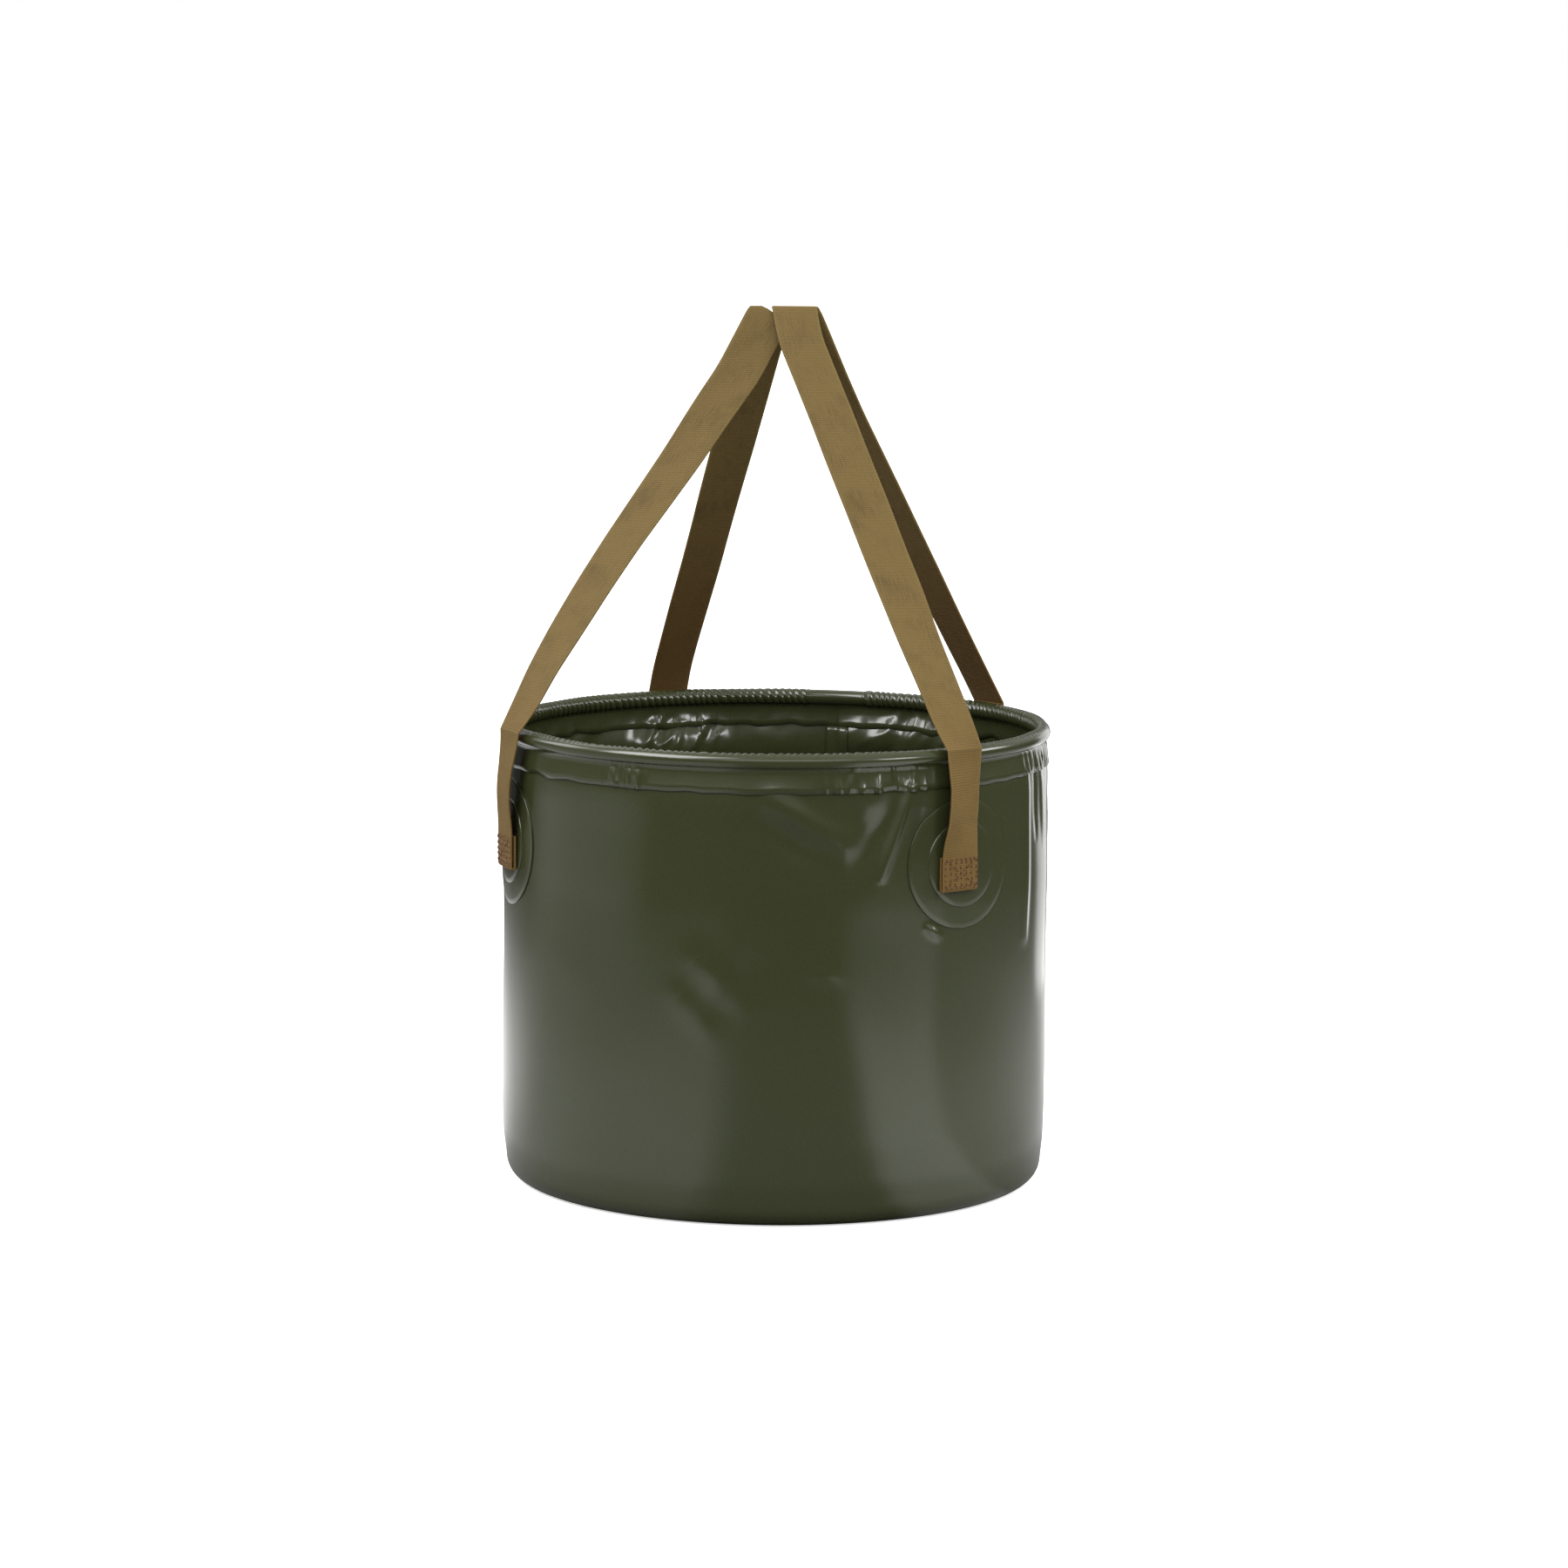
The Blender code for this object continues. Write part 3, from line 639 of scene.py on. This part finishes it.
LOOP_TOP = 0.4982           # top of the handles
sewn = {}
mitres = {}                 # how the webbing runs where its two pieces meet at the rim
for place in anchors:
    sewn[place] = sewn_rows(place)
    before, foot = (row[0] for row in sewn[place][-2:])
    onwards = (Vector((0, 0, LOOP_TOP)) - foot).normalized()
    mitres[place] = ((foot - before).normalized() + onwards).normalized()
    wall_side = place.startswith("front")       # which face of the band lies to the wall
    piece = webbing_band("sewn_end_" + place, sewn[place], webbing,
                         lambda share, inside: sewn_painted_shade(share, inside == wall_side), end_run=mitres[place])
    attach(piece, "base")
    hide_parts("strap_end_" + place)
    crumple(piece)

# Stitching: bonded polyester thread, sewn in close rows up and down each tab and across its corners.
# Each stitch is a short raised bead that sinks into the webbing at both ends.
STITCH = 0.0022             # length of a stitch
THREAD = 0.0009
WANDER, SKEW = 0.0002, 0.12                # spread of the stitches' places, and of their turn in radians
sewing_thread, thread_tree, thread = new_material("bonded_polyester_thread")
thread_place = add_node(thread_tree, "TexCoord")
# The thread's strands are 0.7 mm long in their twist
thread_twist = add_node(thread_tree, "TexNoise", {"Vector": thread_place.outputs["Object"], "Scale": 1500.0,
                                                  "Detail": 2.0})
thread_colour = add_node(thread_tree, "ValToRGB", {"Fac": thread_twist.outputs["Fac"]})
thread_colour.color_ramp.elements[0].color = linear("#34180A")
thread_colour.color_ramp.elements[1].color = linear("#74451A")
thread.inputs["Roughness"].default_value = 0.6
thread_tree.links.new(thread_colour.outputs["Color"], thread.inputs["Base Color"])


def sew(place, seed):
    """Every stitch of one tab, in one mesh."""
    dice = random.Random(seed)
    form = bmesh.new()
    low, high = FOLD_FOOT + 0.0026, TAB_TOP - 0.0012
    reach = WEBBING_HALF - 0.0018
    seams = []
    for row in range(7):
        across = -reach + 2 * reach * row / 6
        seams.append(((across, low), (across, high)))
    seams += [((-reach, low), (reach, high)), ((reach, low), (-reach, high)), ((-reach, low), (reach, low)),
              ((-reach, high), (reach, high))]
    turn = anchors[place] + math.radians(TABS[place][0])
    radius = wall_radius(anchors[place], FOLD_FOOT) + TAB_OUTER + WEBBING / 2
    for start, end in seams:
        start, end = Vector(start), Vector(end)
        count = int((end - start).length / (STITCH + 0.0005))
        for index in range(count):
            middle = start.lerp(end, (index + 0.5) / count)
            middle += Vector((dice.gauss(0, WANDER), dice.gauss(0, WANDER)))
            heading = math.atan2(end.y - start.y, end.x - start.x) + dice.gauss(0, SKEW)
            bead = bmesh.ops.create_uvsphere(form, u_segments=6, v_segments=5, radius=0.5)["verts"]
            bmesh.ops.scale(form, vec=(STITCH, THREAD, THREAD), verts=bead)
            here = turn + middle.x / WALL_HEAD
            for angle, axis in ((math.pi / 2, "X"), (-heading, "Y"), (here, "Z")):
                bmesh.ops.rotate(form, cent=(0, 0, 0), matrix=Matrix.Rotation(angle, 3, axis), verts=bead)
            bmesh.ops.translate(form, vec=at_turn(here, radius + THREAD * 0.1, middle.y), verts=bead)
    return keep_piece("stitches_" + place, form, sewing_thread)


for seed, place in enumerate(anchors):
    piece = sew(place, seed)
    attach(piece, "base")
    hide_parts("strap_stitching_" + place)
    crumple(piece)

# Handles: each is one length of the webbing, from its front sewn end up over the top and down to its
# rear one. Held up, the webbing turns to face the front on its way and folds sharply at the top, where
# the left loop tucks under the right one.
VIEW_TURN = math.radians(14.0)     # the loops face this far to the right of the front
FOLD_REACH = 0.0035                # length of each leg that the fold takes up
to_front = Matrix.Rotation(VIEW_TURN, 3, "Z")

# Shares of each leg from the rim to the top, and for each leg there: the turn of its width in degrees,
# and its bow to the right
SHARES = (0, 0.06, 0.14, 0.24, 0.34, 0.44, 0.54, 0.64, 0.74, 0.84, 0.92, 1)
LEGS = {
    "front_right": ((40, 27, 26, 20, 9, 8, 5, 5, 6, 7, 4, 0),
                    (0, -0.0008, -0.0011, -0.0021, -0.002, -0.0025, -0.0025, -0.003, -0.003, -0.0035,
                     -0.004, 0)),
    "front_left": ((-64, -53, -47, -38, -34, -31, -26, -20, -13, -5, -1, 0),
                   (0, -0.0003, -0.0027, -0.0033, -0.0034, -0.0025, -0.0005, 0.0014, 0.0022, 0.0036,
                    0.0018, 0)),
    "rear_right": ((-48, -49, -48, -47, -45, -46, -45, -45, -46, -37, -27, 0),
                   (0, 0.0001, -0.0001, -0.0001, 0.0001, 0.0005, 0.0007, 0.0008, 0.001, 0.001, 0.001, 0)),
    "rear_left": ((24, 25, 24, 20, 19, 19, 14, 9, 7, 6, 6, 0),
                  (0, -0.0014, -0.0015, -0.0014, -0.0011, -0.0013, -0.0015, -0.0014, -0.0014, -0.0014,
                   -0.0014, 0)),
}
# How far the rear legs swing to the rear and the front just below the top, to pass each other there
PASSING = {"rear_right": 0.0024, "rear_left": -0.0016}


def leg_rows(place, top, count=110):
    """(middle, turn of the width) from the rim to the fold, as the loops are seen from the front."""
    twist, bow = (tuple(zip(SHARES, values)) for values in LEGS[place])
    swing = ((0, 0), (0.85, 0), (0.94, PASSING.get(place, 0)), (1, 0))
    foot = to_front.inverted() @ sewn[place][-1][0]
    run = top - foot
    reach = run.length - FOLD_REACH
    rows = []
    for step in range(count + 1):
        share = reach / run.length * step / count
        middle = foot + run * share + Vector((between(bow, share), between(swing, share), 0))
        rows.append((middle, math.radians(between(twist, share))))
    return rows


def smooth_rows(rows, rounds):
    """Takes the corners out of a list of (middle, turn), and keeps its ends."""
    for _ in range(rounds):
        kept = [rows[0]]
        for before, here, after in zip(rows, rows[1:], rows[2:]):
            kept.append(((before[0] + here[0] * 2 + after[0]) / 4, (before[1] + here[1] * 2 + after[1]) / 4))
        rows = kept + [rows[-1]]
    return rows


def loop_rows(side, top_across):
    """Rows of a loop: up its front leg, over the fold at the top and down its rear leg."""
    front_foot, rear_foot = (to_front.inverted() @ sewn[end + side][-1][0] for end in ("front_", "rear_"))
    top = Vector((top_across, 0, LOOP_TOP - WEBBING / 2))
    climbs = [(top - foot).normalized().z for foot in (front_foot, rear_foot)]
    top.z += FOLD_REACH * sum(climbs) / 4
    front = smooth_rows(leg_rows("front_" + side, top), 12)
    rear = smooth_rows(leg_rows("rear_" + side, top), 12)
    near, far = front[-1][0], rear[-1][0]
    fold = []
    for step in range(1, 10):
        share = step / 10
        fold.append((near * (1 - share) ** 2 + top * 2 * share * (1 - share) + far * share ** 2, 0.0))
    rows = front + fold + rear[::-1]
    slants = []
    for index, (middle, turn) in enumerate(rows):
        run = rows[min(index + 1, len(rows) - 1)][0] - rows[max(index - 1, 0)][0]
        across = Vector((math.cos(turn), math.sin(turn), 0))
        slants.append(1 / math.sqrt(1 - across.dot(run.normalized()) ** 2))
    before, after = len(front) - 2, len(front) + len(fold) + 1
    for index in range(before, after + 1):
        share = (index - before) / (after - before)
        slants[index] = slants[before] * (1 - share) + slants[after] * share
    for index in range(10):
        for end in (index, -1 - index):
            slants[end] = 1 + (slants[end] - 1) * ease(index / 10)
    return [(to_front @ middle, slant * at_turn(turn + VIEW_TURN + math.pi / 2, 1, 0), Vector())
            for (middle, turn), slant in zip(rows, slants)]


def tuck_under(place, along, whole):
    """The left loop's inner corner drops where the right loop lies over it."""
    seen = to_front.inverted() @ place
    from_top = abs(along - whole / 2)
    seen.z -= 0.0042 * ease((seen.x + 0.0105) / 0.0085) * ease(1 - from_top / 0.030)
    return to_front @ seen


def loop_painted_shade(share, inside):
    """Painted shade along a loop: its inner face takes more of the browner colour away from the grip, towards
    the rims, and its outer face a little of it close to the rims.
    """
    from_grip = abs(share * 2 - 1)
    return 0.95 * ease(from_grip * 1.5 - 0.5) if inside else 0.3 * ease(from_grip * 6 - 5)


RIGHT_TOP, LEFT_TOP = 0.0078, -0.0032      # middles of the two folds, to the right of the bucket's middle
for side, top_across, settle in (("right", RIGHT_TOP, None), ("left", LEFT_TOP, tuck_under)):
    piece = webbing_band("webbing_loop_" + side, loop_rows(side, top_across), webbing, loop_painted_shade, settle,
                         mitres["front_" + side], -mitres["rear_" + side])
    body = "handle_" + side
    foot = sewn["front_" + side][-1][0]
    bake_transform(piece)
    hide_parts(body)

# Floor, light and camera: a plain white sweep under a pale sky, and large soft boxes at the left, the
# right and over the camera, with a small one and a strip behind. As mirror rays see them, the floor and
# the sky are mostly dark, as with black cards round the table, and two pale cards stand on the floor.
CAMERA_AWAY = at_turn(VIEW_TURN, 1, 0)
DARK_SIDE, CAMERA_SIDE, CARD_SIDE, LEFT_SIDE = (
    at_turn(VIEW_TURN + math.radians(turn), 1, 0) for turn in (16, 7, 46, -86))


def towards(tree, spot, side):
    """How squarely a spot or direction lies to one side of the studio: 1 to -1."""
    level = add_node(tree, "VectorMath", {0: spot, 1: (1, 1, 0)}, operation="MULTIPLY")
    heading = add_node(tree, "VectorMath", {0: level.outputs["Vector"]}, operation="NORMALIZE")
    return add_node(tree, "VectorMath", {0: heading.outputs["Vector"], 1: side},
                    operation="DOT_PRODUCT").outputs["Value"]


floor_paint, floor_tree, floor_shader = new_material("white_floor")
path = add_node(floor_tree, "LightPath")
floor_spot = add_node(floor_tree, "TexCoord").outputs["Object"]
floor_away = add_node(floor_tree, "VectorMath", {0: floor_spot}, operation="LENGTH").outputs["Value"]
# The floor as mirror rays see it. In each row: what a brightness goes by, from and to there, from and to in
# brightness, and whether it changes softly. It is paler behind the bucket, and darker far away and right
# in front. Two pale cards stand on it, and round its foot the bucket shades it.
FLOOR_RANGES = {
    "side": (towards(floor_tree, floor_spot, DARK_SIDE), -0.95, -0.3, 0.88, 0.48, True),
    "near": (floor_away, 0.3, 1.2, 1.0, 0.03, True),
    "front": (towards(floor_tree, floor_spot, CAMERA_SIDE), 0.86, 0.955, 1.0, 0.22, True),
    "right_card": (towards(floor_tree, floor_spot, CARD_SIDE), 0.945, 0.975, 0.0, 0.38, True),
    "right_card_end": (floor_away, 0.95, 1.2, 1.0, 0.0, False),
    "left_card": (towards(floor_tree, floor_spot, LEFT_SIDE), 0.80, 0.97, 0.0, 0.33, True),
    "left_card_start": (floor_away, 0.8, 1.4, 0.0, 1.0, False),
    "foot": (floor_away, 0.14, 0.22, 0.35, 1.0, False),
}
shares = {}
for name, (*values, soft) in FLOOR_RANGES.items():
    sockets = dict(zip(("Value", "From Min", "From Max", "To Min", "To Max"), values))
    shares[name] = add_node(floor_tree, "MapRange", sockets,
                            interpolation_type="SMOOTHSTEP" if soft else "LINEAR").outputs["Result"]
floor_front = add_node(floor_tree, "Math", {0: shares["side"], 1: shares["near"]}, operation="MULTIPLY")
left_card = add_node(floor_tree, "Math", {0: shares["left_card"], 1: shares["left_card_start"]},
                     operation="MULTIPLY")
cards = add_node(floor_tree, "Math", {0: shares["right_card"], 1: shares["right_card_end"],
                                      2: left_card.outputs["Value"]}, operation="MULTIPLY_ADD")
floor_lit = add_node(floor_tree, "Math", {0: floor_front.outputs["Value"], 1: shares["front"],
                                          2: cards.outputs["Value"]}, operation="MULTIPLY_ADD")
floor_seen = add_node(floor_tree, "Math", {0: floor_lit.outputs["Value"], 1: shares["foot"]},
                      operation="MULTIPLY")
seen = add_node(floor_tree, "Math", {0: path.outputs["Is Camera Ray"], 1: path.outputs["Is Transmission Ray"]},
                operation="MAXIMUM")
# White to the eye, and a third as bright for the light that it throws on the bucket
bounced = add_node(floor_tree, "Mix", {0: path.outputs["Is Diffuse Ray"], 2: 0.9, 3: 0.3}, data_type="FLOAT")
mirrored = add_node(floor_tree, "Mix", {0: path.outputs["Is Glossy Ray"], 2: bounced.outputs[0],
                                        3: floor_seen.outputs["Value"]}, data_type="FLOAT")
floor_shader.inputs["Roughness"].default_value = 0.9
floor_shader.inputs["Emission Color"].default_value = (1, 1, 1, 1)
floor_lift = add_node(floor_tree, "Math", {0: seen.outputs["Value"], 1: 0.55}, operation="MULTIPLY")
floor_tree.links.new(floor_lift.outputs["Value"], floor_shader.inputs["Emission Strength"])
floor_tree.links.new(mirrored.outputs[0], floor_shader.inputs["Base Color"])
form = bmesh.new()
bmesh.ops.create_grid(form, x_segments=1, y_segments=1, size=20)
floor = keep_piece("floor", form, floor_paint, smooth=False)

world = bpy.data.worlds.new("studio")
bpy.context.scene.world = world
world.use_nodes = True
sky = world.node_tree
sky.nodes.clear()
sky_path = add_node(sky, "LightPath")
sky_way = add_node(sky, "TexCoord").outputs["Generated"]
sky_height = add_node(sky, "SeparateXYZ", {"Vector": sky_way})
# Dark near the horizon, where the wall mirrors it, and pale above
sky_side = add_node(sky, "MapRange", {"Value": towards(sky, sky_way, DARK_SIDE),
                                      "From Min": -0.2, "From Max": 0.95, "To Min": 0.12, "To Max": 0.02},
                    interpolation_type="SMOOTHSTEP")
sky_top = add_node(sky, "MapRange", {"Value": sky_height.outputs["Z"], "From Min": 0.1, "From Max": 0.4,
                                     "To Min": 0.0, "To Max": 1.0}, interpolation_type="SMOOTHSTEP")
sky_over = add_node(sky, "Mix", {0: sky_path.outputs["Is Diffuse Ray"], 2: 0.62, 3: 1.6}, data_type="FLOAT")
sky_level = add_node(sky, "Mix", {0: sky_top.outputs["Result"], 2: sky_side.outputs["Result"],
                                  3: sky_over.outputs[0]}, data_type="FLOAT")
sky_open = add_node(sky, "Math", {0: sky_path.outputs["Is Camera Ray"],
                                  1: sky_path.outputs["Is Transmission Ray"]}, operation="MAXIMUM")
sky_strength = add_node(sky, "Mix", {0: sky_open.outputs["Value"], 2: sky_level.outputs[0], 3: 1.0},
                        data_type="FLOAT")
sky_light = add_node(sky, "Background", {"Color": (1, 1, 1, 1), "Strength": sky_strength.outputs[0]})
add_node(sky, "OutputWorld", {"Surface": sky_light.outputs["Background"]})


AIM_HEIGHT = 0.18           # on the bucket's axis, where the soft boxes face


def soft_box(name, turn, distance, height, width, tall, power, only_shine=False):
    """A soft box at a turn from the camera's side, facing the bucket, or one that only gives it a shine."""
    data = bpy.data.lights.new(name, "AREA")
    data.shape = "RECTANGLE"
    data.size = width
    data.size_y = tall
    data.energy = power
    lamp = bpy.data.objects.new(name, data)
    bpy.context.scene.collection.objects.link(lamp)
    lamp.location = at_turn(math.radians(turn) + VIEW_TURN, distance, height)
    aim = Vector((0, 0, AIM_HEIGHT)) - lamp.location
    lamp.rotation_euler = aim.to_track_quat("-Z", "Y").to_euler()
    lamp.visible_camera = False
    lamp.visible_diffuse = not only_shine


soft_box("soft_box_left", -60, 1.42, 1.46, 1.1, 0.95, 14)
soft_box("shine_box_left", -58, 1.2, 1.4, 1.2, 1.2, 27, only_shine=True)
soft_box("soft_box_left_rear", -108, 1.9, 1.3, 0.9, 0.8, 9)
soft_box("soft_box_right", 52, 1.9, 1.0, 0.5, 0.4, 8)
soft_box("soft_box_right_side", 98, 1.9, 1.1, 1.0, 0.6, 14)
soft_box("soft_box_over_front", 5, 2.0, 1.5, 2.2, 0.5, 8)
soft_box("edge_box_right", 143, 0.7, 0.20, 0.27, 0.40, 0.5)
soft_box("strip_box_behind", -160, 1.3, 1.6, 1.2, 0.3, 2)

FRAME_WIDTH = 36            # the camera's frame and focal length, in mm
FOCAL = 114.595
FRAME_SHIFT = 0.00499
CAMERA_BACK = 2.8324
CAMERA_HEIGHT = 0.6112
CAMERA_DOWN, CAMERA_ROLL = 0.1354, 0.0081  # how far it looks down and is tipped, in radians
camera_data = bpy.data.cameras.new("camera")
camera_data.sensor_width = FRAME_WIDTH
camera_data.lens = FOCAL
camera_data.shift_x = FRAME_SHIFT
camera = bpy.data.objects.new("camera", camera_data)
bpy.context.scene.collection.objects.link(camera)
camera.matrix_world = (Matrix.Translation(CAMERA_AWAY * CAMERA_BACK + Vector((0, 0, CAMERA_HEIGHT)))
                       @ Matrix.Rotation(VIEW_TURN, 4, "Z") @ Matrix.Rotation(math.pi / 2 - CAMERA_DOWN, 4, "X")
                       @ Matrix.Rotation(CAMERA_ROLL, 4, "Z"))
bpy.context.scene.camera = camera
bpy.context.scene.view_settings.view_transform = "Standard"
